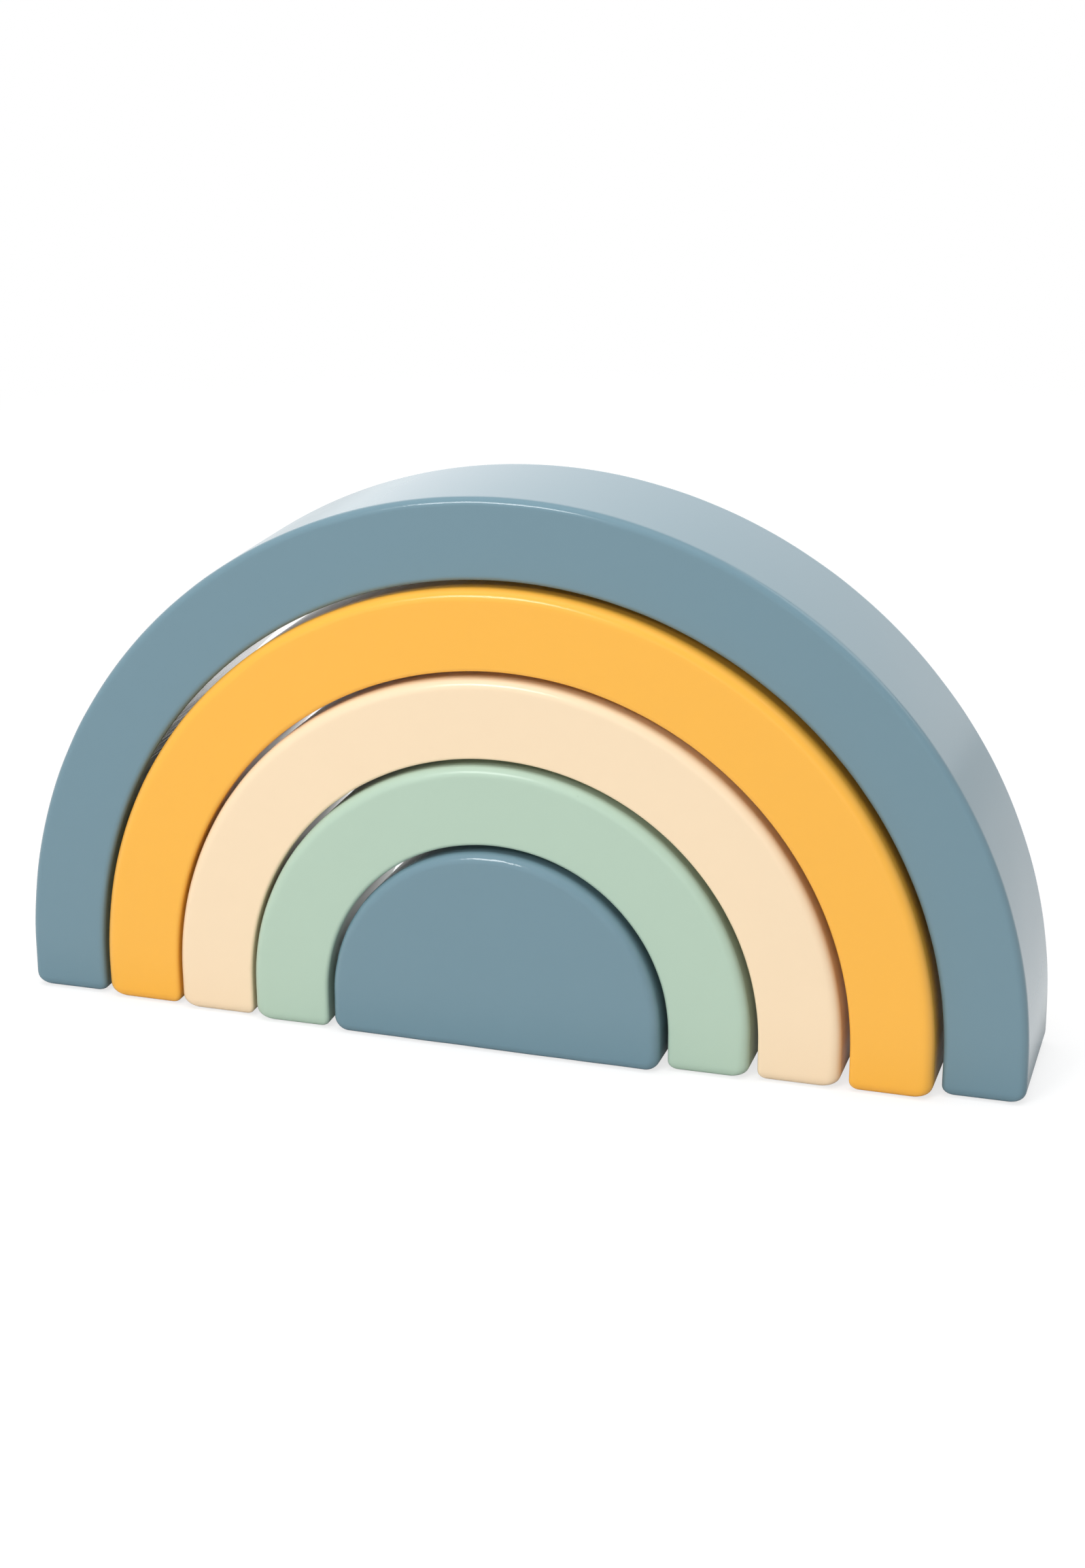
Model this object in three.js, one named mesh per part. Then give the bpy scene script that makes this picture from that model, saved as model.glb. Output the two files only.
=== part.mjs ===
// A nesting rainbow: four painted wooden arches that stand one inside the other over a half-round block.
// Every piece is one solid, sawn from a board of one thickness, with its edges rounded over.
// Millimetres, +Z up, the front towards -Y, the origin on the table under the middle of the set.
import * as THREE from "three";

// Driving dimensions
const CORE_RADIUS = 29.5; // the half-round block in the middle
const ARCH_WALL = 14; // radial thickness of every arch
const NEST_GAP = 1; // air between a piece and the next one out, when the two stand concentric
const LEG_HEIGHT = 6.8; // straight stretch of the legs, from the table up to the centre of all the arcs
const BOARD_DEPTH = 27; // front to back
const EDGE_ROUND = 1.9; // quarter round along every front and back edge
const FOOT_SOFTENING = 0.8; // how much rounder the corners of the feet are than the other edges

// Facets
const ARC_STEPS = 48; // along each half circle
const CORNER_STEPS = 3; // round each corner of a foot
const EDGE_STEPS = 3; // across each rounded edge

// Finish
const BLUE_GREY = 0x7995a1;
const YELLOW = 0xfcbd56;
const CREAM = 0xf9e2c0;
const MINT = 0xb9d0be;
const PAINT_ROUGHNESS = 0.38;

// The pieces from the outermost in. They are loose, so each row also says how the piece happens to stand in the
// next one out: forward in millimetres, and aside to the right and turned to the left as shares of the play
// that the nest gap leaves.
const PIECES = [
  { name: "blue_arch", colour: BLUE_GREY, forward: 0, aside: 0, turn: 0 },
  { name: "yellow_arch", colour: YELLOW, forward: 1.8, aside: 0.05, turn: -0.14 },
  { name: "cream_arch", colour: CREAM, forward: 0.55, aside: -0.5, turn: 0.07 },
  { name: "mint_arch", colour: MINT, forward: 0.9, aside: -0.45, turn: 0.08 },
  { name: "blue_half_round", colour: BLUE_GREY, forward: 1.3, aside: 0.2, turn: -0.25 },
];

const QUARTER = Math.PI / 2;
const ARCH_COUNT = PIECES.length - 1;

// The most that a piece could turn in its nest before its corners touched.
const playAngle = Math.atan(NEST_GAP / (BOARD_DEPTH / 2));

// The rounds leave some flat on every side, and a foot's corner stays within the straight of the leg.
const edgeRound = Math.min(EDGE_ROUND, ARCH_WALL / 4, BOARD_DEPTH / 4, LEG_HEIGHT / 2);
const footRound = Math.min(edgeRound + FOOT_SOFTENING, ARCH_WALL / 3, LEG_HEIGHT);

/** Points along an arc about (x, z), both ends included. */
function arc(x, z, radius, from, to, steps) {
  const points = [];
  for (let i = 0; i <= steps; i += 1) {
    const angle = from + ((to - from) * i) / steps;
    points.push(new THREE.Vector2(x + radius * Math.cos(angle), z + radius * Math.sin(angle)));
  }
  return points;
}

/** A foot's rounded corner, whose arc is centred at x. */
function footCorner(x, from) {
  return arc(x, footRound, footRound, from, from + QUARTER, CORNER_STEPS);
}

/** The half circle that all the pieces share the centre of, with its ends on top of the straight legs. */
function halfCircle(radius, from, to) {
  return arc(0, LEG_HEIGHT, radius, from, to, ARC_STEPS);
}

/** Front outline of the half-round block: flat below, two rounded corners, short sides and a half circle. */
function blockOutline(radius) {
  return [
    ...footCorner(radius - footRound, -QUARTER),
    ...halfCircle(radius, 0, Math.PI),
    ...footCorner(footRound - radius, Math.PI),
  ];
}

/** Front outline of an arch: over the outside to the left foot, then back along the inside to the right foot. */
function archOutline(outer) {
  const inner = outer - ARCH_WALL;
  return [
    ...blockOutline(outer),
    ...footCorner(-inner - footRound, -QUARTER),
    ...halfCircle(inner, Math.PI, 0),
    ...footCorner(inner + footRound, Math.PI),
  ];
}

/** The board cut along an outline and rounded over along its front and back edges. */
function sawnBoard(outline) {
  const straight = BOARD_DEPTH - 2 * edgeRound;
  const geometry = new THREE.ExtrudeGeometry(new THREE.Shape(outline), {
    depth: straight,
    bevelSegments: EDGE_STEPS,
    bevelThickness: edgeRound,
    bevelSize: edgeRound,
    bevelOffset: -edgeRound,
  });
  geometry.translate(0, 0, -straight / 2);
  geometry.rotateX(QUARTER);
  return geometry;
}

/** One painted piece, counted from 0 at the outermost. */
function paintedPiece(piece, place) {
  const radius = CORE_RADIUS + (ARCH_COUNT - place) * (ARCH_WALL + NEST_GAP);
  const outline = place < ARCH_COUNT ? archOutline(radius) : blockOutline(radius);
  const paint = new THREE.MeshStandardMaterial({
    color: piece.colour,
    roughness: PAINT_ROUGHNESS,
    metalness: 0,
  });
  const mesh = new THREE.Mesh(sawnBoard(outline), paint);
  mesh.name = piece.name;
  return mesh;
}

/** The whole nest, each piece standing in the one before it, with the set centred front to back. */
function nestingRainbow() {
  const rainbow = new THREE.Group();
  let nest = rainbow;
  PIECES.forEach((piece, place) => {
    const stand = new THREE.Group();
    stand.position.set(piece.aside * NEST_GAP, -piece.forward, 0);
    stand.rotation.z = piece.turn * playAngle;
    stand.add(paintedPiece(piece, place));
    nest.add(stand);
    nest = stand;
  });
  const box = new THREE.Box3().setFromObject(rainbow, true);
  rainbow.position.y = -(box.min.y + box.max.y) / 2;
  return rainbow;
}

export default nestingRainbow();
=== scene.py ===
"""A nesting rainbow of painted wooden arches over a half-round block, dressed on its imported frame.

Every piece is a smooth surface worked out from the sizes and the place of its own solid, in metres.
It wears a satin paint over sanded wood, whose tone, gloss and relief come from shader nodes.
"""

import logging
import math
from dataclasses import dataclass, field, replace
from enum import Enum

import bpy
import numpy as np
from mathutils import Matrix, Vector


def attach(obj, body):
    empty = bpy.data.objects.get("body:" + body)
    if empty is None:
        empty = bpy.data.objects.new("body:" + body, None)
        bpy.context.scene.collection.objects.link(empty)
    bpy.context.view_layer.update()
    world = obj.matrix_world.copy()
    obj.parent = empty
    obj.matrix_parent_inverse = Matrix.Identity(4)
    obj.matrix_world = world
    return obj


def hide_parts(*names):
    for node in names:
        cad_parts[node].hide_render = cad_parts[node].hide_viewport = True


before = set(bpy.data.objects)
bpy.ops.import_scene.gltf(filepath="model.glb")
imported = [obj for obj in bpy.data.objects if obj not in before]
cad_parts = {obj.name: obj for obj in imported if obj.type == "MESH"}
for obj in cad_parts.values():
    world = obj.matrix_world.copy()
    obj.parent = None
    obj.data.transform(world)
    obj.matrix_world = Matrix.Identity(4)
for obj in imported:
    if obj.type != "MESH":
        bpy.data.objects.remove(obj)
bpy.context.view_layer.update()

log = logging.getLogger("nesting_rainbow")

MM = 0.001
QUARTER = 0.5 * math.pi
FULL_TURN = 2.0 * math.pi

# How near to a level a point counts as lying on it, and the decimals of a metre that tell points apart
TOUCH = 0.02 * MM
DIGITS = 6

# The uneven line that a hand leaves: how many waves it has, and how long they are
WAVE_COUNT = 8
SHORTEST_WAVE = 9.0 * MM
LONGEST_WAVE = 70.0 * MM

# Directions that the sanding's unevenness is read along, in a piece's own axes
RISING_STROKE = np.array([0.9, 0.3, 1.1])
FALLING_STROKE = np.array([0.5, 0.8, -0.6])

# Power that keeps the nest mark on a wall and off its rounded edges
WALL_FOCUS = 8

Colour = tuple[float, float, float, float]

WHITE: Colour = (1.0, 1.0, 1.0, 1.0)


# Colours and shader nodes

def display_colour(red: int, green: int, blue: int) -> Colour:
    """Turns display levels from 0 to 255 into an opaque linear colour, by the sRGB curve.

    Args:
        red: red level.
        green: green level.
        blue: blue level.

    Returns:
        The colour as red, green, blue and alpha.
    """
    share = np.array([red, green, blue]) / 255.0
    light = np.where(share <= 0.04045, share / 12.92, ((share + 0.055) / 1.055) ** 2.4)
    return (*light.tolist(), 1.0)


class NodeSheet:
    """A node tree with short calls that add and join nodes."""

    def __init__(self, tree: bpy.types.NodeTree) -> None:
        """Takes a tree and clears it."""
        self.tree = tree
        tree.nodes.clear()

    def add(self, kind: str, **settings: object) -> bpy.types.Node:
        """Adds a node.

        Args:
            kind: the node's class name after "ShaderNode", or a whole class name that starts with "Node".
            settings: properties to set on it.

        Returns:
            The new node.
        """
        node = self.tree.nodes.new(kind if kind.startswith("Node") else "ShaderNode" + kind)
        for key, value in settings.items():
            setattr(node, key, value)
        return node

    def feed(self, socket: bpy.types.NodeSocket, value: object) -> None:
        """Joins an output to an input socket, or sets the socket's own value.

        Args:
            socket: the input socket.
            value: the output socket, or the value to set.
        """
        if isinstance(value, bpy.types.NodeSocket):
            self.tree.links.new(value, socket)
        else:
            socket.default_value = value

    def math(self, operation: str, *values: object, clamp: bool = False) -> bpy.types.NodeSocket:
        """Adds a Math node.

        Args:
            operation: the node's operation.
            values: its inputs in order, sockets or numbers.
            clamp: whether the result is held between 0 and 1.

        Returns:
            The node's output.
        """
        node = self.add("Math", operation=operation, use_clamp=clamp)
        for socket, value in zip(node.inputs, values):
            self.feed(socket, value)
        return node.outputs[0]

    def scaled(
        self, vector: bpy.types.NodeSocket, scale: tuple[float, float, float]
    ) -> bpy.types.NodeSocket:
        """Adds a Mapping node that stretches a vector.

        Args:
            vector: the vector.
            scale: factors along X, Y and Z.

        Returns:
            The stretched vector.
        """
        node = self.add("Mapping")
        self.feed(node.inputs["Vector"], vector)
        self.feed(node.inputs["Scale"], scale)
        return node.outputs["Vector"]

    def noise(
        self, vector: bpy.types.NodeSocket, scale: float, detail: float = 2.0
    ) -> bpy.types.NodeSocket:
        """Adds a noise texture.

        Args:
            vector: where the noise is read.
            scale: waves per unit of the vector.
            detail: how many finer waves lie on the first.

        Returns:
            The noise, 0.5 on average.
        """
        node = self.add("TexNoise")
        self.feed(node.inputs["Vector"], vector)
        self.feed(node.inputs["Scale"], scale)
        self.feed(node.inputs["Detail"], detail)
        return node.outputs["Fac"]

    def step(self, value: bpy.types.NodeSocket, low: float, high: float) -> bpy.types.NodeSocket:
        """Adds a smooth step.

        Args:
            value: the value that is stepped.
            low: where the mask is 0.
            high: where the mask is 1; it may lie below low.

        Returns:
            A mask from 0 to 1.
        """
        node = self.add("MapRange", interpolation_type="SMOOTHSTEP")
        self.feed(node.inputs["Value"], value)
        self.feed(node.inputs["From Min"], low)
        self.feed(node.inputs["From Max"], high)
        return node.outputs["Result"]

    def mix(self, share: object, first: object, second: object) -> bpy.types.NodeSocket:
        """Adds a colour mix, whose colour sockets stand behind those for numbers and vectors.

        Args:
            share: how much of the second colour, a socket or a number.
            first: the colour at 0.
            second: the colour at 1.

        Returns:
            The mixed colour.
        """
        node = self.add("Mix", data_type="RGBA")
        self.feed(node.inputs[0], share)
        self.feed(node.inputs[6], first)
        self.feed(node.inputs[7], second)
        return node.outputs[2]

    def brighten(self, colour: object, level: bpy.types.NodeSocket) -> bpy.types.NodeSocket:
        """Adds a vector scaling that multiplies a colour by a level.

        Args:
            colour: the colour, a socket or a value.
            level: the level.

        Returns:
            The multiplied colour.
        """
        node = self.add("VectorMath", operation="SCALE")
        self.feed(node.inputs[0], colour)
        self.feed(node.inputs["Scale"], level)
        return node.outputs[0]


class Mark(Enum):
    """What a piece's mesh tells its paint about each point: its edges, nest walls and run along a wall."""

    EDGE = "edge"
    NEST = "nest"
    RUN = "run"


@dataclass(frozen=True)
class SandedWood:
    """Relief under the paint.

    Peel is the paint's own, grain is the board's, which runs along X, ripples follow the rounded edges,
    saw marks cross the curved walls that face another piece, and a few pits sit on the edges. Scales are
    waves per metre, and heights are shares of the material's relief.

    Attributes:
        peel_scale: scale of the peel.
        peel_height: height of the peel.
        grain_scale: scales of the grain along X, Y and Z.
        grain_height: height of the grain.
        fine_detail: how many finer waves lie on the grain and on the saw marks.
        ripple_scale: scale of the ripples.
        ripple_height: height of the ripples.
        saw_scale: scale of the saw marks along a wall.
        saw_length_scale: scale of the saw marks through the board.
        saw_height: height of the saw marks.
        pit_scale: cells per metre, a few of which hold a pit.
        pit_lot: a cell's draw, from 0 to 1, above which it starts to hold a pit, and above which it does.
        pit_reach: where a pit ends and where it is full, in cells from its middle.
        pit_height: height of the pits, which lie below the surface.
    """

    peel_scale: float = 620.0
    peel_height: float = 0.06
    grain_scale: tuple[float, float, float] = (45.0, 900.0, 900.0)
    grain_height: float = 0.06
    fine_detail: float = 3.0
    ripple_scale: float = 420.0
    ripple_height: float = 1.6
    saw_scale: float = 1300.0
    saw_length_scale: float = 50.0
    saw_height: float = 2.5
    pit_scale: float = 130.0
    pit_lot: tuple[float, float] = (0.8, 0.82)
    pit_reach: tuple[float, float] = (0.055, 0.03)
    pit_height: float = -3.0

    def group(self) -> bpy.types.NodeTree:
        """Builds the node group.

        Returns:
            A group that reads the marks and puts out Height, Pits and Saw.
        """
        tree = bpy.data.node_groups.new("sanded_wood", "ShaderNodeTree")
        for mark in Mark:
            tree.interface.new_socket(mark.value, in_out="INPUT", socket_type="NodeSocketFloat")
        for name in ("Height", "Pits", "Saw"):
            tree.interface.new_socket(name, in_out="OUTPUT", socket_type="NodeSocketFloat")
        sheet = NodeSheet(tree)
        given = sheet.add("NodeGroupInput").outputs
        made = sheet.add("NodeGroupOutput").inputs
        place = sheet.add("TexCoord").outputs["Object"]
        peel = sheet.noise(place, self.peel_scale)
        grain = sheet.noise(sheet.scaled(place, self.grain_scale), 1.0, self.fine_detail)
        ripple = sheet.math("MULTIPLY", sheet.noise(place, self.ripple_scale), given[Mark.EDGE.value])
        lines = self.saw_lines(sheet, place, given[Mark.RUN.value])
        saw = sheet.math("MULTIPLY", lines, given[Mark.NEST.value])
        pits = sheet.math("MULTIPLY", self.pit_spots(sheet, place), given[Mark.EDGE.value], clamp=True)
        height = sheet.math("MULTIPLY", peel, self.peel_height)
        for layer, share in (
            (grain, self.grain_height),
            (ripple, self.ripple_height),
            (saw, self.saw_height),
            (pits, self.pit_height),
        ):
            height = sheet.math("MULTIPLY_ADD", layer, share, height)
        sheet.feed(made["Height"], height)
        sheet.feed(made["Pits"], pits)
        sheet.feed(made["Saw"], saw)
        return tree

    def saw_lines(
        self, sheet: NodeSheet, place: bpy.types.NodeSocket, run: bpy.types.NodeSocket
    ) -> bpy.types.NodeSocket:
        """Noise that changes fast along the wall's run and slowly through the board.

        Args:
            sheet: the group's tree.
            place: Object coordinates.
            run: the run mark.

        Returns:
            The lines, 0.5 on average.
        """
        split = sheet.add("SeparateXYZ")
        sheet.feed(split.inputs[0], place)
        line = sheet.add("CombineXYZ")
        sheet.feed(line.inputs[0], sheet.math("MULTIPLY", run, self.saw_scale))
        sheet.feed(line.inputs[1], sheet.math("MULTIPLY", split.outputs["Y"], self.saw_length_scale))
        return sheet.noise(line.outputs[0], 1.0, self.fine_detail)

    def pit_spots(self, sheet: NodeSheet, place: bpy.types.NodeSocket) -> bpy.types.NodeSocket:
        """Small spots at the middles of a few cells of a random mesh.

        Args:
            sheet: the group's tree.
            place: Object coordinates.

        Returns:
            A mask that is 1 in a pit.
        """
        cells = sheet.add("TexVoronoi", feature="F1")
        sheet.feed(cells.inputs["Vector"], place)
        sheet.feed(cells.inputs["Scale"], self.pit_scale)
        lot = sheet.add("SeparateColor")
        sheet.feed(lot.inputs[0], cells.outputs["Color"])
        few = sheet.step(lot.outputs[0], *self.pit_lot)
        near = sheet.step(cells.outputs["Distance"], *self.pit_reach)
        return sheet.math("MULTIPLY", few, near)


@dataclass(frozen=True)
class PaintCoat:
    """Tone and gloss: faint clouds, a thinner coat and painted reflection on the nest walls, pits that hold
    shade.

    Scales are waves per metre.

    Attributes:
        cloud_scale: scale of the clouds.
        speck_scale: scale of the specks in them.
        speck_share: how strong the specks are beside the clouds.
        tone_swing: how much clouds and specks change the tone.
        gloss_swing: how much they change the roughness.
        nest_thin_and_reflection: how much of the thinner coat's colour and painted reflection shows on the
            nest walls.
        nest_saw_thin_and_reflection: how much more of it shows where their saw marks rise.
        nest_dull: what is added to the roughness there.
        pit_shade: how much of the tone a pit takes away.
    """

    cloud_scale: float = 24.0
    speck_scale: float = 170.0
    speck_share: float = 0.5
    tone_swing: float = 0.02
    gloss_swing: float = 0.08
    nest_thin_and_reflection: float = 0.05
    nest_saw_thin_and_reflection: float = 0.15
    nest_dull: float = -0.05
    pit_shade: float = 0.5

    def group(self) -> bpy.types.NodeTree:
        """Builds the node group.

        Returns:
            A group that puts out Colour and Roughness.
        """
        tree = bpy.data.node_groups.new("paint_coat", "ShaderNodeTree")
        for name in ("Paint", "ThinAndReflection"):
            tree.interface.new_socket(name, in_out="INPUT", socket_type="NodeSocketColor")
        for name in ("Dullness", "Nest", "Pits", "Saw"):
            tree.interface.new_socket(name, in_out="INPUT", socket_type="NodeSocketFloat")
        tree.interface.new_socket("Colour", in_out="OUTPUT", socket_type="NodeSocketColor")
        tree.interface.new_socket("Roughness", in_out="OUTPUT", socket_type="NodeSocketFloat")
        sheet = NodeSheet(tree)
        given = sheet.add("NodeGroupInput").outputs
        made = sheet.add("NodeGroupOutput").inputs
        place = sheet.add("TexCoord").outputs["Object"]
        cloud = sheet.noise(place, self.cloud_scale)
        speck = sheet.noise(place, self.speck_scale)
        drift = sheet.math("MULTIPLY_ADD", speck, self.speck_share, cloud)
        drift = sheet.math("SUBTRACT", drift, 0.5 + 0.5 * self.speck_share)
        tone = sheet.brighten(given["Paint"], sheet.math("MULTIPLY_ADD", drift, self.tone_swing, 1.0))
        # Nest walls take the second colour: partly a thinner coat, partly painted reflection of the white
        # surroundings.
        thin_and_reflection = sheet.math("MULTIPLY", given["Nest"], self.nest_thin_and_reflection)
        thin_and_reflection = sheet.math("MULTIPLY_ADD", given["Saw"], self.nest_saw_thin_and_reflection, thin_and_reflection, clamp=True)
        tone = sheet.mix(thin_and_reflection, tone, given["ThinAndReflection"])
        tone = sheet.brighten(tone, sheet.math("MULTIPLY_ADD", given["Pits"], -self.pit_shade, 1.0))
        gloss = sheet.math("MULTIPLY_ADD", drift, self.gloss_swing, given["Dullness"])
        gloss = sheet.math("MULTIPLY_ADD", given["Nest"], self.nest_dull, gloss)
        sheet.feed(made["Colour"], tone)
        sheet.feed(made["Roughness"], gloss)
        return tree


@dataclass(frozen=True)
class SatinPaint:
    """A satin paint over sanded wood.

    Attributes:
        slot: the record's material slot.
        colour: linear colour of the full coat.
        thin_and_reflection: linear colour on the nest walls, partly a thinner coat over sawn wood, partly
            painted reflection.
        dullness: the coat's roughness on average.
        relief: height of the relief under it, in metres.
    """

    slot: str
    colour: Colour
    thin_and_reflection: Colour
    dullness: float = 0.17
    relief: float = 0.02 * MM

    def material(self, wood: bpy.types.NodeTree, coat: bpy.types.NodeTree) -> bpy.types.Material:
        """Builds the material.

        Args:
            wood: the relief's node group.
            coat: the tone's node group.

        Returns:
            The material.
        """
        made = bpy.data.materials.new(self.slot)
        made.use_nodes = True
        sheet = NodeSheet(made.node_tree)
        under = sheet.add("Group", node_tree=wood)
        over = sheet.add("Group", node_tree=coat)
        for mark in Mark:
            read = sheet.add("Attribute", attribute_name=mark.value).outputs["Fac"]
            sheet.feed(under.inputs[mark.value], read)
            if mark is Mark.NEST:
                sheet.feed(over.inputs["Nest"], read)
        sheet.feed(over.inputs["Paint"], self.colour)
        sheet.feed(over.inputs["ThinAndReflection"], self.thin_and_reflection)
        sheet.feed(over.inputs["Dullness"], self.dullness)
        sheet.feed(over.inputs["Pits"], under.outputs["Pits"])
        sheet.feed(over.inputs["Saw"], under.outputs["Saw"])
        bump = sheet.add("Bump")
        sheet.feed(bump.inputs["Distance"], self.relief)
        sheet.feed(bump.inputs["Height"], under.outputs["Height"])
        shader = sheet.add("BsdfPrincipled")
        sheet.feed(shader.inputs["Base Color"], over.outputs["Colour"])
        sheet.feed(shader.inputs["Roughness"], over.outputs["Roughness"])
        sheet.feed(shader.inputs["Normal"], bump.outputs["Normal"])
        end = sheet.add("OutputMaterial")
        sheet.feed(end.inputs["Surface"], shader.outputs["BSDF"])
        return made


class Paint(Enum):
    """The paints on the set."""

    # Each paint's second colour is the nest walls' tone: partly a thinner coat, partly painted reflection.
    BLUE = SatinPaint("blue_paint", display_colour(109, 140, 153), display_colour(124, 128, 126))
    YELLOW = SatinPaint(
        "yellow_paint", display_colour(248, 182, 66), display_colour(196, 148, 88), dullness=0.23
    )
    CREAM = SatinPaint(
        "cream_paint", display_colour(245, 220, 185), display_colour(206, 184, 156), dullness=0.235
    )
    MINT = SatinPaint(
        "mint_paint", display_colour(178, 202, 183), display_colour(168, 172, 158), dullness=0.31
    )


# Surfaces

def crowded(count: int) -> np.ndarray:
    """Steps from 0 to 1, close at both ends: half of one less the cosine of even steps to a half turn."""
    return (1.0 - np.cos(np.linspace(0.0, math.pi, count + 1))) / 2.0


def draw_in(height: np.ndarray, radius: float) -> np.ndarray:
    """How far a quarter round draws a wall in at a height above its lowest line.

    The draw-in is the radius less a root: that of the radius squared, less the square of what is left of
    the radius above the height.

    Args:
        height: heights above the lowest line.
        radius: the round's radius.

    Returns:
        The draw-in, 0 from the radius up.
    """
    left = radius - np.minimum(height, radius)
    return radius - np.sqrt(radius**2 - left**2)


def hand_waves(run: np.ndarray, seed: int) -> np.ndarray:
    """A smooth uneven line, as a hand leaves it: a sum of sines with seeded lengths and phases.

    Args:
        run: where the line is read, in metres.
        seed: which line.

    Returns:
        Values mostly between -1 and 1.
    """
    draw = np.random.default_rng(seed)
    lengths = draw.uniform(SHORTEST_WAVE, LONGEST_WAVE, WAVE_COUNT)
    phases = draw.uniform(0.0, FULL_TURN, WAVE_COUNT)
    waves = np.sin(FULL_TURN * run[..., None] / lengths + phases)
    return waves.sum(-1) / math.sqrt(2.0 * WAVE_COUNT)


@dataclass
class Surface:
    """A grid of points whose rows are closed rings, with a flat face over the first and the last ring.

    Attributes:
        points: rows by columns by three, in the piece's own axes.
        outward: unit vectors of the same shape, square to the surface.
        edge: how strongly a rounded edge ripples, most in its middle and 0 off it, rows by columns.
        nest: 1 on a curved wall that faces another piece, rows by columns.
        run: metres along the wall, rows by columns.
    """

    points: np.ndarray
    outward: np.ndarray
    edge: np.ndarray
    nest: np.ndarray
    run: np.ndarray

    def sanded(self, depth: float, seed: int) -> "Surface":
        """Sinks the surface unevenly, by up to a depth, as hand sanding does.

        The sink is half the depth, swung by two uneven lines that are read along two slanting directions.
        A hyperbolic tangent eases the swing off towards nothing and towards the whole depth.

        Args:
            depth: how deep, in metres.
            seed: which unevenness.

        Returns:
            The sanded surface.
        """
        rising = hand_waves(self.points @ RISING_STROKE, seed)
        falling = hand_waves(self.points @ FALLING_STROKE, seed + 1)
        sink = depth * (0.5 + 0.5 * np.tanh(0.5 * (rising + falling)))
        return replace(self, points=self.points - sink[..., None] * self.outward)

    def faces(self) -> list[list[int]]:
        """Joins neighbouring rings with quads and closes the two flat ends, all facing out.

        Returns:
            The faces, each a list of point numbers.
        """
        rows, columns = self.edge.shape
        here = np.arange(rows * columns).reshape(rows, columns)
        beside = np.roll(here, -1, axis=1)
        quads = np.stack([here[:-1], here[1:], beside[1:], beside[:-1]], axis=-1).reshape(-1, 4)
        return [*quads.tolist(), here[0].tolist(), here[-1, ::-1].tolist()]


@dataclass
class Stand:
    """A piece's sizes and where it stands in the nest, measured on its solid, in metres and radians.

    Attributes:
        centre: the middle of its feet.
        turn: how far it is turned about the upright.
        outer: radius of its outer wall.
        inner: least radius that its solid has above the centre of the arcs, the inner wall's on an arch.
        leg: height of the centre of its arcs.
        depth: front to back.
        edge: radius of its front and back edges.
        foot: radius of the corners of its feet.
    """

    centre: np.ndarray
    turn: float
    outer: float
    inner: float
    leg: float
    depth: float
    edge: float
    foot: float

    @classmethod
    def of_node(cls, node: str) -> "Stand":
        """Measures a solid.

        The underside gives the centre, and the turn by the direction in which it is longest. The rest are
        reaches along the piece's own axes.

        Args:
            node: the solid's node.

        Returns:
            The measures.
        """
        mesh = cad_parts[node].data
        points = np.zeros(len(mesh.vertices) * 3)
        mesh.vertices.foreach_get("co", points)
        points = np.unique(points.reshape(-1, 3).round(DIGITS), axis=0)
        under = np.unique(points[points[:, 2] < TOUCH, :2], axis=0)
        centre = under.mean(0)
        along = np.linalg.svd(under - centre)[2][0]
        along = along * np.sign(along[0])
        x = (points[:, :2] - centre) @ along
        y = (points[:, :2] - centre) @ np.array([-along[1], along[0]])
        z = points[:, 2]
        outer = x.max()
        leg = z.max() - outer
        upper = z > leg + TOUCH
        front = y < y.min() + TOUCH
        return cls(
            centre=centre,
            turn=math.atan2(along[1], along[0]),
            outer=outer,
            inner=np.hypot(x, z - leg)[upper].min(),
            leg=leg,
            depth=np.ptp(y),
            edge=outer - x[front].max(),
            foot=outer - x[z < TOUCH].max(),
        )

    def placed(self, points: np.ndarray) -> np.ndarray:
        """Turns points about the upright and moves them to where the piece stands.

        Args:
            points: rows of points in the piece's own axes.

        Returns:
            The points in the scene's axes.
        """
        cosine, sine = math.cos(self.turn), math.sin(self.turn)
        turned = points @ np.array([[cosine, sine, 0.0], [-sine, cosine, 0.0], [0.0, 0.0, 1.0]])
        return turned + np.array([*self.centre, 0.0])


# Pieces

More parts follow.
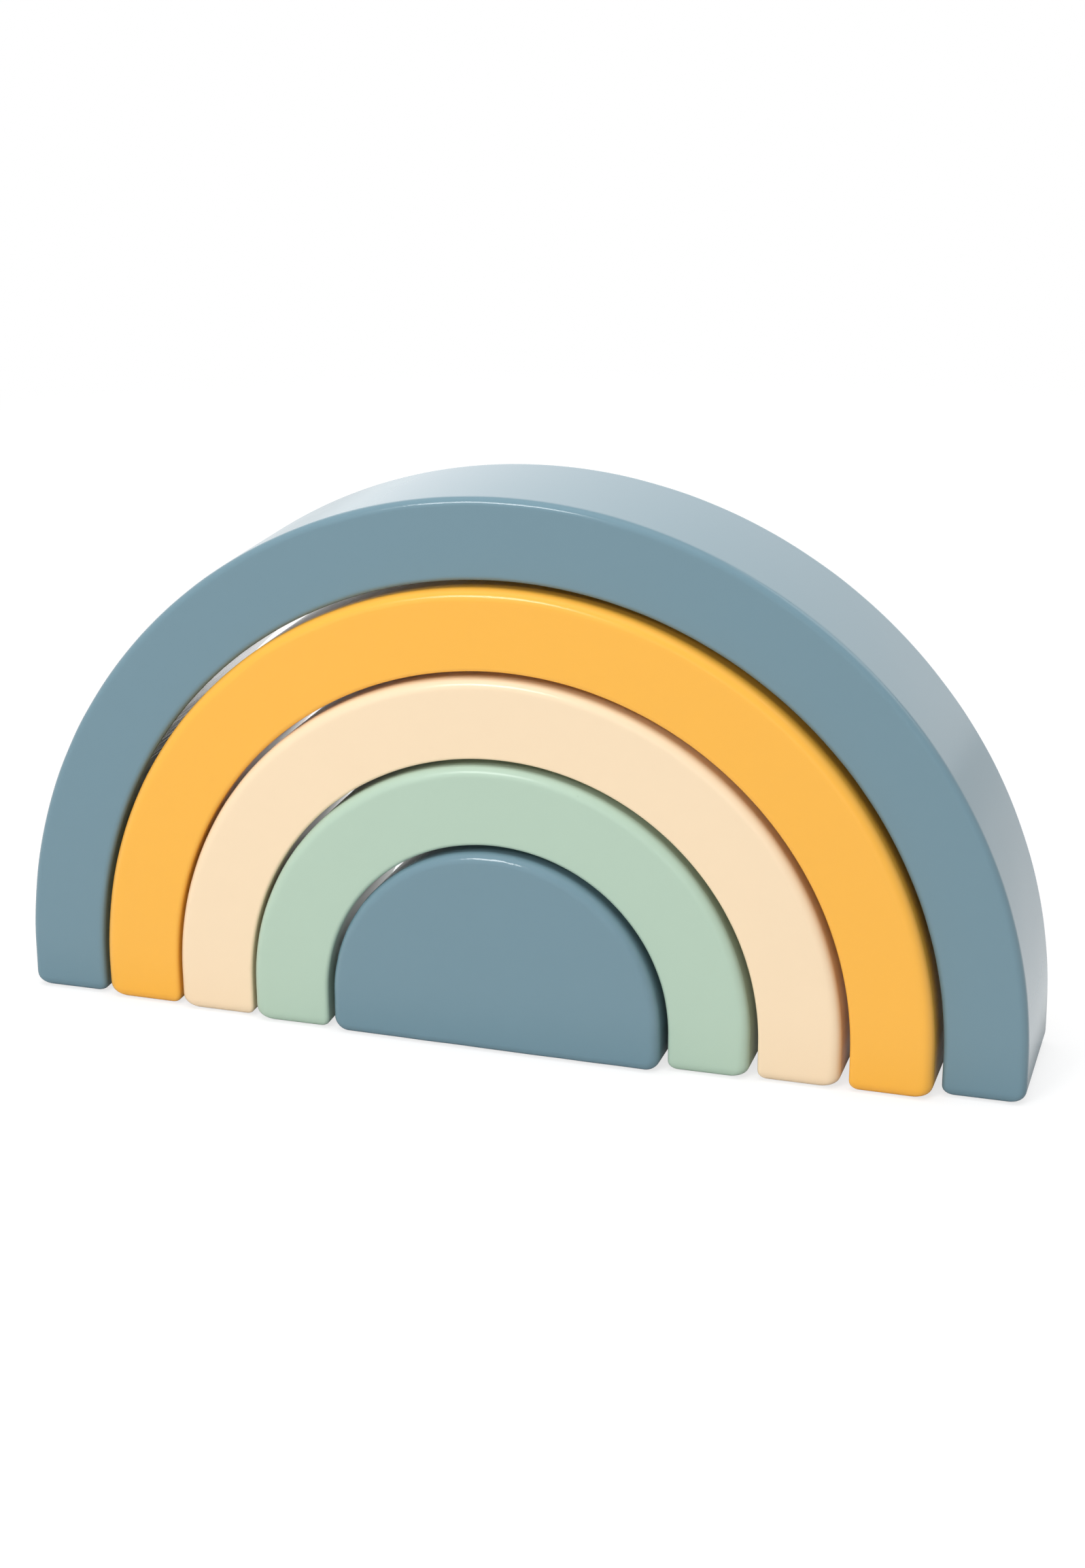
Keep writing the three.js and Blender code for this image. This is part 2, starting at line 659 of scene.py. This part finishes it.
@dataclass
class SawnPiece:
    """One piece of the set, sawn from a board, rounded over, sanded and painted.

    Attributes:
        node: the CAD node that it stands for.
        body: the body that it moves with.
        paint: its paint.
        seed: which unevenness its maker left.
        outermost: whether its outer wall faces no other piece.
        edge_share: radius of its outer edges, as a share of its solid's.
        edge_swing: how much the radius of its edges varies, as a share.
        ripple: how strongly its edges ripple.
        sanding: how deep the sanding dips, in metres.
        stand: its measures.
    """

    node: str
    body: str
    paint: Paint
    seed: int
    outermost: bool = False
    edge_share: float = 1.0
    edge_swing: float = 0.06
    ripple: float = 0.7
    sanding: float = 0.05 * MM
    stand: Stand = field(init=False)

    def __post_init__(self) -> None:
        """Measures the solid."""
        self.stand = Stand.of_node(self.node)

    def surface(self) -> Surface:
        """Works out the piece's surface in its own axes."""
        raise NotImplementedError

    def edge_radius(self, run: np.ndarray) -> np.ndarray:
        """Radius of the rounded edges along a run, uneven by the edge swing."""
        uneven = 1.0 + self.edge_swing * hand_waves(run, self.seed + 2)
        return self.stand.edge * self.edge_share * uneven

    def build(self, materials: dict[Paint, bpy.types.Material]) -> bpy.types.Object:
        """Makes the mesh, paints it and sets it on its body.

        Args:
            materials: the materials by paint.

        Returns:
            The finished object.
        """
        skin = self.surface().sanded(self.sanding, self.seed)
        points = self.stand.placed(skin.points.reshape(-1, 3))
        mesh = bpy.data.meshes.new(self.node + "_painted")
        mesh.from_pydata(points.tolist(), [], skin.faces())
        for mark, values in ((Mark.EDGE, skin.edge), (Mark.NEST, skin.nest), (Mark.RUN, skin.run)):
            layer = mesh.attributes.new(mark.value, "FLOAT", "POINT")
            layer.data.foreach_set("value", values.astype(np.float32).ravel())
        mesh.shade_smooth()
        mesh.materials.append(materials[self.paint])
        mesh.update()
        piece = bpy.data.objects.new(self.node + "_painted", mesh)
        bpy.context.scene.collection.objects.link(piece)
        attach(piece, self.body)
        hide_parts(self.node)
        return piece


@dataclass
class Arch(SawnPiece):
    """An arch: a rounded rectangle carried up one leg, over the half circle and down the other leg.

    Attributes:
        inner_edge: radius of the front and back edges of the inner wall, in metres.
        inner_foot: radius of the inner corners of its feet, in metres.
        arc_steps: steps over the half circle.
        leg_steps: steps up the straight of a leg.
        foot_steps: steps round a corner of a foot.
        flat_steps: steps along a side of the section.
        corner_steps: steps round a corner of the section.
    """

    inner_edge: float = 0.8 * MM
    inner_foot: float = 1.9 * MM
    arc_steps: int = 224
    leg_steps: int = 6
    foot_steps: int = 10
    flat_steps: int = 12
    corner_steps: int = 10

    def section(self) -> tuple[np.ndarray, np.ndarray, np.ndarray]:
        """A rounded rectangle with unit half sides, before its corners are drawn.

        From the outer wall to the back, the inner wall and the front, each side runs from one corner to the
        next at one angle, and each corner then turns that angle on by a quarter.

        Returns:
            A point's corner as shares of the half width and the half depth, and the point's angle.
        """
        corners = np.array([[1, -1], [1, 1], [-1, 1], [-1, -1], [1, -1]], float)
        across, angle = [], []
        for side in range(4):
            share = crowded(self.flat_steps)[:-1, None]
            across.append(corners[side] * (1.0 - share) + corners[side + 1] * share)
            angle.append(np.full(self.flat_steps, side * QUARTER))
            across.append(np.repeat(corners[side + 1 : side + 2], self.corner_steps, axis=0))
            angle.append((side + np.arange(self.corner_steps) / self.corner_steps) * QUARTER)
        wide, deep = np.concatenate(across).T
        return wide, deep, np.concatenate(angle)

    def path(self) -> tuple[np.ndarray, np.ndarray]:
        """The stations of the section.

        Up the left leg, over and down the right leg, a station's height is that of the foot's round or of
        the straight, and on the half circle that of its centre. The angle goes from a half turn to 0.

        Returns:
            The stations' heights and angles.
        """
        rounding = self.stand.foot * (1.0 - np.sin(np.linspace(QUARTER, 0.0, self.foot_steps + 1)))
        straight = np.linspace(self.stand.foot, self.stand.leg, self.leg_steps + 1)[1:]
        climb = np.concatenate([rounding, straight])
        over = np.linspace(math.pi, 0.0, self.arc_steps + 1)[1:-1]
        height = np.concatenate([climb, np.full(over.size, self.stand.leg), climb[::-1]])
        angle = np.concatenate([np.full(climb.size, math.pi), over, np.zeros(climb.size)])
        return height, angle

    def surface(self) -> Surface:
        """Works out the arch.

        A point's distance from the axis of the arcs is the middle radius, plus its share of the half wall
        less the edge's radius, plus that radius times the cosine of its angle. Its depth is its share of
        the half depth less the edge's radius, plus that radius times the sine. The feet's rounds draw the
        half wall and the half depth in. The inner half has its own, smaller radii.

        Returns:
            The surface.
        """
        stand = self.stand
        wide, deep, turn = self.section()
        height, angle = self.path()
        middle = (stand.outer + stand.inner) / 2.0
        run = height + middle * (math.pi - angle) + np.where(angle == 0.0, 2.0 * (stand.leg - height), 0.0)
        outside = wide >= 0.0
        inner_share = self.inner_edge / (stand.edge * self.edge_share)
        radius = self.edge_radius(run)[:, None] * np.where(outside, 1.0, inner_share)
        outer_draw, inner_draw = draw_in(height, stand.foot), draw_in(height, self.inner_foot)
        drawn = np.where(outside, outer_draw[:, None], inner_draw[:, None])
        half_wall = (stand.outer - stand.inner) / 2.0 - drawn
        half_depth = (stand.depth / 2.0 - draw_in(height, stand.edge))[:, None]
        reach = middle + wide * (half_wall - radius) + radius * np.cos(turn)
        y = deep * (half_depth - radius) + radius * np.sin(turn)
        aside, above = np.cos(angle)[:, None], np.sin(angle)[:, None]
        points = np.stack([reach * aside, y, height[:, None] + reach * above], axis=-1)
        sine = np.broadcast_to(np.sin(turn), reach.shape)
        outward = np.stack([np.cos(turn) * aside, sine, np.cos(turn) * above], axis=-1)
        facing = -np.cos(turn) if self.outermost else np.abs(np.cos(turn))
        return Surface(
            points=points,
            outward=outward,
            edge=np.broadcast_to(self.ripple * np.abs(np.sin(2.0 * turn)), reach.shape),
            nest=np.broadcast_to(np.maximum(facing, 0.0) ** WALL_FOCUS, reach.shape),
            run=np.broadcast_to(run[:, None], reach.shape),
        )


@dataclass
class HalfRound(SawnPiece):
    """The block in the middle, whose outline is carried from the front face along the wall to the back.

    Attributes:
        arc_steps: steps over the half circle.
        side_steps: steps up a straight side.
        base_steps: steps along the base.
        corner_steps: steps round a corner of the base.
        wall_steps: steps from the front to the back of the wall.
        edge_steps: steps over a rounded edge.
        face_steps: rings on a face.
        face_least: size of a face's innermost ring, as a share of the whole.
        face_middle: where the rings shrink to, as a share of the way from the leg's height to the radius.
        edge_stroke: direction in X and Z that the edges' unevenness is read along.
        base_rise: rise of an outward direction, below which the wall is the base and faces no piece.
    """

    arc_steps: int = 160
    side_steps: int = 6
    base_steps: int = 48
    corner_steps: int = 12
    wall_steps: int = 16
    edge_steps: int = 10
    face_steps: int = 10
    face_least: float = 0.1
    face_middle: float = 0.4
    edge_stroke: tuple[float, float] = (1.0, 1.7)
    base_rise: float = -0.5

    def outline(self) -> tuple[np.ndarray, np.ndarray, np.ndarray]:
        """The outline seen from the front, from the left end of the base to the right and round.

        Every point lies on a round: a corner's, whose centre slides along the base and the sides, or the
        half circle.

        Returns:
            The rounds' centres in X and Z, their radii, and the points' angles on them.
        """
        stand = self.stand
        foot, flank = stand.foot, stand.outer - stand.foot
        rest = np.linspace(-flank, flank, self.base_steps + 1)[:-1]
        side = np.linspace(foot, stand.leg, self.side_steps + 1)[:-1]
        corner = np.arange(self.corner_steps) / self.corner_steps * QUARTER
        over = np.linspace(0.0, math.pi, self.arc_steps + 1)[:-1]
        parts = (
            (rest, foot, foot, -QUARTER),
            (flank, foot, foot, corner - QUARTER),
            (flank, side, foot, 0.0),
            (0.0, stand.leg, stand.outer, over),
            (-flank, stand.leg + foot - side, foot, math.pi),
            (-flank, foot, foot, corner + math.pi),
        )
        rows = [np.stack(np.broadcast_arrays(*map(np.atleast_1d, part)), axis=-1) for part in parts]
        x, z, radius, angle = np.concatenate(rows).T
        return np.stack([x, z], axis=-1), radius, angle

    def surface(self) -> Surface:
        """Works out the block.

        A ring of the outline is drawn in by the edge's radius times one less the sine of the profile's
        angle, and lies forward of the straight wall by the radius times the cosine. On the two faces the
        ring shrinks evenly towards a point in the middle.

        Returns:
            The surface.
        """
        stand = self.stand
        centre, radius, angle = self.outline()
        spoke = np.stack([np.cos(angle), np.sin(angle)], axis=-1)
        rim = centre + radius[:, None] * spoke
        run = np.concatenate([[0.0], np.cumsum(np.linalg.norm(np.diff(rim, axis=0), axis=1))])
        edge = self.edge_radius(rim @ np.array(self.edge_stroke))
        bevel = np.linspace(0.0, QUARTER, self.edge_steps + 1)
        grow = self.face_least + (1.0 - self.face_least) * crowded(self.face_steps)[:-1]
        wall = crowded(self.wall_steps)[1:-1]
        straight = np.full(wall.size, QUARTER)
        flat = np.zeros(grow.size)
        size = np.concatenate([grow, np.ones(2 * bevel.size + wall.size), grow[::-1]])
        slope = np.concatenate([flat, bevel, straight, math.pi - bevel[::-1], flat + math.pi])[:, None]
        back = np.concatenate([flat, 0.0 * bevel, wall, 0.0 * bevel + 1.0, flat + 1.0])[:, None]
        ring = centre + (radius - edge * (1.0 - np.sin(slope)))[..., None] * spoke
        middle = np.array([0.0, stand.leg + self.face_middle * (stand.outer - stand.leg)])
        ring = middle + size[:, None, None] * (ring - middle)
        y = (back - 0.5) * (stand.depth - 2.0 * edge) - edge * np.cos(slope)
        points = np.stack([ring[..., 0], y, ring[..., 1]], axis=-1)
        forward = np.broadcast_to(-np.cos(slope), y.shape)
        outward = np.stack([np.sin(slope) * spoke[:, 0], forward, np.sin(slope) * spoke[:, 1]], axis=-1)
        arched = spoke[:, 1] > self.base_rise
        return Surface(
            points=points,
            outward=outward,
            edge=np.broadcast_to(self.ripple * np.abs(np.sin(2.0 * slope)), y.shape),
            nest=np.sin(slope) ** WALL_FOCUS * arched,
            run=np.broadcast_to(run, y.shape),
        )


# Studio

def towards(azimuth: float, elevation: float) -> Vector:
    """Finds the unit vector that leads away from the object.

    Args:
        azimuth: degrees from the front to the right.
        elevation: degrees above the table.

    Returns:
        The vector.
    """
    around, above = math.radians(azimuth), math.radians(elevation)
    level = math.cos(above)
    return Vector((math.sin(around) * level, -math.cos(around) * level, math.sin(above)))


@dataclass(frozen=True)
class PhotoCamera:
    """The camera at the photograph's place.

    Attributes:
        azimuth: degrees from the front to the right.
        elevation: degrees above the table.
        roll: degrees to the left.
        distance: metres from the target.
        target: the point that it faces, in metres.
        lens: focal length, in millimetres.
        sensor: long side of the sensor, in millimetres.
        near: how near it starts to see, in metres.
        far: how far it sees, in metres.
    """

    azimuth: float = 16.872
    elevation: float = 19.417
    roll: float = -0.244
    distance: float = 470.0 * MM
    target: tuple[float, float, float] = (2.85 * MM, 2.52 * MM, 43.25 * MM)
    lens: float = 62.774
    sensor: float = 36.0
    near: float = 10.0 * MM
    far: float = 100.0

    def place(self) -> None:
        """Makes the camera and sets it as the scene's."""
        data = bpy.data.cameras.new("photo_camera")
        data.lens = self.lens
        data.sensor_width = self.sensor
        data.clip_start = self.near
        data.clip_end = self.far
        camera = bpy.data.objects.new("photo_camera", data)
        back = towards(self.azimuth, self.elevation)
        turned = math.radians(self.azimuth)
        right = Vector((math.cos(turned), math.sin(turned), 0.0))
        up = back.cross(right)
        cosine, sine = math.cos(math.radians(self.roll)), math.sin(math.radians(self.roll))
        axes = Matrix((cosine * right + sine * up, cosine * up - sine * right, back)).transposed()
        eye = Vector(self.target) + self.distance * back
        camera.matrix_world = Matrix.Translation(eye) @ axes.to_4x4()
        bpy.context.scene.collection.objects.link(camera)
        bpy.context.scene.camera = camera


@dataclass(frozen=True)
class Softbox:
    """A soft rectangular lamp that faces the set.

    Attributes:
        name: what it is for.
        azimuth: degrees from the front to the right.
        elevation: degrees above the table.
        distance: metres from the set.
        width: metres across.
        height: metres upright.
        power: watts.
        mirrored: whether it shows in reflections.
    """

    name: str
    azimuth: float
    elevation: float
    distance: float
    width: float
    height: float
    power: float
    mirrored: bool = True

    def place(self, target: Vector) -> None:
        """Makes the lamp.

        Args:
            target: the point that it faces.
        """
        data = bpy.data.lights.new(self.name, "AREA")
        data.shape = "RECTANGLE"
        data.size = self.width
        data.size_y = self.height
        data.energy = self.power
        lamp = bpy.data.objects.new(self.name, data)
        away = towards(self.azimuth, self.elevation)
        facing = (-away).to_track_quat("-Z", "Y").to_matrix().to_4x4()
        lamp.matrix_world = Matrix.Translation(target + self.distance * away) @ facing
        lamp.visible_camera = False
        lamp.visible_glossy = self.mirrored
        bpy.context.scene.collection.objects.link(lamp)


@dataclass(frozen=True)
class Studio:
    """White floor, white surroundings and soft lamps.

    Attributes:
        floor_side: side of the floor, in metres.
        floor_lines: lines of the floor's grid each way.
        floor_white: the floor's own reflectance.
        floor_lift: how much of the floor's white shows whatever falls on it, to the eye and in reflections.
        floor_near: how far off the floor has to be to show all of that white in a reflection, in metres.
        floor_glow: strength of that white.
        floor_rim: metres from its middle between which the floor turns to plain white for the eye.
        fill: strength of the surroundings as a light.
        lamps: the lamps.
    """

    floor_side: float = 1.7
    floor_lines: int = 3
    floor_white: float = 0.6
    floor_lift: float = 0.5
    floor_near: float = 30.0 * MM
    floor_glow: float = 1.46
    floor_rim: tuple[float, float] = (0.25, 0.6)
    fill: float = 0.12
    lamps: tuple[Softbox, ...] = (
        Softbox(
            "key_lamp", azimuth=-22.0, elevation=36.0, distance=1.0, width=0.34, height=0.2, power=3.0
        ),
        Softbox(
            "front_lamp", azimuth=-6.0, elevation=8.0, distance=1.4,
            width=2.0, height=0.4, power=7.6, mirrored=False,
        ),
        Softbox(
            "top_lamp", azimuth=-30.0, elevation=81.0, distance=1.2,
            width=1.3, height=0.8, power=12.4, mirrored=False,
        ),
        Softbox(
            "back_lamp", azimuth=194.0, elevation=20.0, distance=1.2, width=2.0, height=0.9, power=2.2
        ),
        Softbox(
            "side_lamp", azimuth=120.0, elevation=44.0, distance=1.4, width=1.0, height=0.8, power=3.7
        ),
        Softbox(
            "rear_lamp", azimuth=186.0, elevation=12.0, distance=1.4,
            width=2.0, height=0.4, power=4.5, mirrored=False,
        ),
    )

    @staticmethod
    def seen(sheet: NodeSheet) -> bpy.types.NodeSocket:
        """Adds a mask of what the eye sees, straight, by reflection or through glass.

        Args:
            sheet: the tree that it is added to.

        Returns:
            The mask, which is 1 for what is seen.
        """
        ray = sheet.add("LightPath").outputs
        straight = sheet.math("MAXIMUM", ray["Is Camera Ray"], ray["Is Glossy Ray"])
        return sheet.math("MAXIMUM", straight, ray["Is Transmission Ray"])

    def light(self, target: Vector) -> None:
        """Sets the surroundings and the lamps.

        Args:
            target: the point that the lamps face.
        """
        world = bpy.data.worlds.new("studio")
        world.use_nodes = True
        sheet = NodeSheet(world.node_tree)
        strength = sheet.math("MULTIPLY_ADD", self.seen(sheet), 1.0 - self.fill, self.fill)
        white = sheet.add("Background")
        sheet.feed(white.inputs["Strength"], strength)
        sheet.feed(white.inputs["Color"], WHITE)
        end = sheet.add("OutputWorld")
        sheet.feed(end.inputs["Surface"], white.outputs[0])
        bpy.context.scene.world = world
        for lamp in self.lamps:
            lamp.place(target)

    def lay_floor(self) -> None:
        """Lays the floor: a square grid in the plane that the set stands on."""
        line = np.linspace(-0.5, 0.5, self.floor_lines) * self.floor_side
        x, y = np.meshgrid(line, line)
        points = np.stack([x, y, np.zeros_like(x)], axis=-1).reshape(-1, 3)
        here = np.arange(x.size).reshape(x.shape)
        quads = np.stack([here[:-1, :-1], here[:-1, 1:], here[1:, 1:], here[1:, :-1]], axis=-1)
        mesh = bpy.data.meshes.new("floor")
        mesh.from_pydata(points.tolist(), [], quads.reshape(-1, 4).tolist())
        mesh.materials.append(self.floor_paint())
        floor = bpy.data.objects.new("floor", mesh)
        bpy.context.scene.collection.objects.link(floor)

    def floor_paint(self) -> bpy.types.Material:
        """Makes the floor's matt white.

        Part of it shows as a steady white to the eye, and towards the rim all of it does.

        Returns:
            The material.
        """
        made = bpy.data.materials.new("white_floor")
        made.use_nodes = True
        sheet = NodeSheet(made.node_tree)
        matt = sheet.add("BsdfDiffuse")
        sheet.feed(matt.inputs["Color"], (self.floor_white, self.floor_white, self.floor_white, 1.0))
        reach = sheet.add("VectorMath", operation="LENGTH")
        sheet.feed(reach.inputs[0], sheet.add("TexCoord").outputs["Object"])
        rim = sheet.step(reach.outputs["Value"], *self.floor_rim)
        lift = sheet.math("MULTIPLY_ADD", rim, 1.0 - self.floor_lift, self.floor_lift)
        strength = sheet.math("MULTIPLY_ADD", rim, 1.0 - self.floor_glow, self.floor_glow)
        glow = sheet.add("Emission")
        sheet.feed(glow.inputs["Strength"], strength)
        far = sheet.step(sheet.add("LightPath").outputs["Ray Length"], 0.0, self.floor_near)
        shown = sheet.math("MULTIPLY", self.seen(sheet), far)
        blend = sheet.add("MixShader")
        sheet.feed(blend.inputs[0], sheet.math("MULTIPLY", shown, lift))
        sheet.feed(blend.inputs[1], matt.outputs[0])
        sheet.feed(blend.inputs[2], glow.outputs[0])
        end = sheet.add("OutputMaterial")
        sheet.feed(end.inputs["Surface"], blend.outputs[0])
        return made


def main() -> None:
    """Builds the pieces from the outermost in, the camera and the studio."""
    logging.basicConfig(level=logging.INFO, format="%(message)s")
    bpy.context.scene.view_settings.view_transform = "Standard"
    wood, coat = SandedWood().group(), PaintCoat().group()
    materials = {paint: paint.value.material(wood, coat) for paint in Paint}
    pieces = [
        Arch(
            "blue_arch", "blue", Paint.BLUE, seed=11, outermost=True, edge_share=0.72, inner_edge=1.1 * MM
        ),
        Arch("yellow_arch", "yellow", Paint.YELLOW, seed=21),
        Arch("cream_arch", "cream", Paint.CREAM, seed=31, inner_edge=0.6 * MM),
        Arch("mint_arch", "mint", Paint.MINT, seed=41),
        HalfRound("blue_half_round", "half_round", Paint.BLUE, seed=51, ripple=4.0),
    ]
    for piece in pieces:
        made = piece.build(materials)
        count = len(made.data.vertices)
        log.info("%s: %d points on body %s in %s", made.name, count, piece.body, piece.paint.value.slot)
    camera = PhotoCamera()
    camera.place()
    studio = Studio()
    studio.light(Vector(camera.target))
    studio.lay_floor()


if __name__ == "__main__":
    main()
